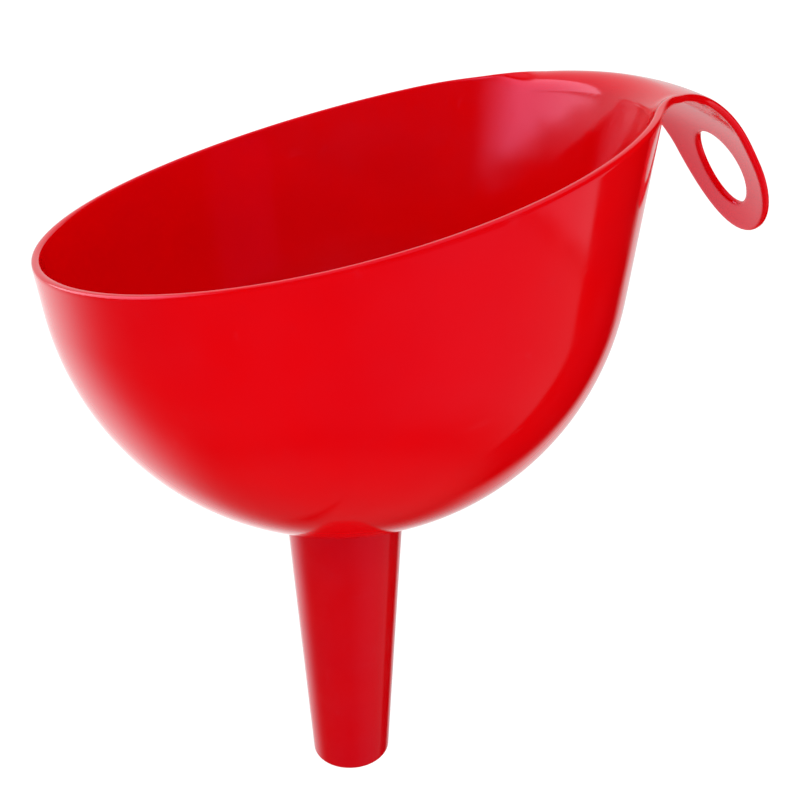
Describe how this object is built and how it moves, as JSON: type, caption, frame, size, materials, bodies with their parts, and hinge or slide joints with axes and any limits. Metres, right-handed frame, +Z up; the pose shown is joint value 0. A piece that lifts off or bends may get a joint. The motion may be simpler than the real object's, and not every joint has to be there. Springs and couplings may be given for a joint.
{
  "type": "canning funnel",
  "caption": "Round-bowled kitchen funnel with an inclined rim that rolls over into a hanging hook handle, and a narrow tapered spout.",
  "frame": {"origin": "centre of the spout's outlet, at its lowest point", "axes": "+Z up along the spout's axis, +X towards the hook handle"},
  "size_m": [0.164, 0.1248, 0.1611],
  "materials": {
    "bowl": "glossy injection-moulded red",
    "spout": "glossy injection-moulded red"
  },
  "bodies": {
    "root": {"bowl": "bowl", "spout": "spout"}
  },
  "joints": []
}
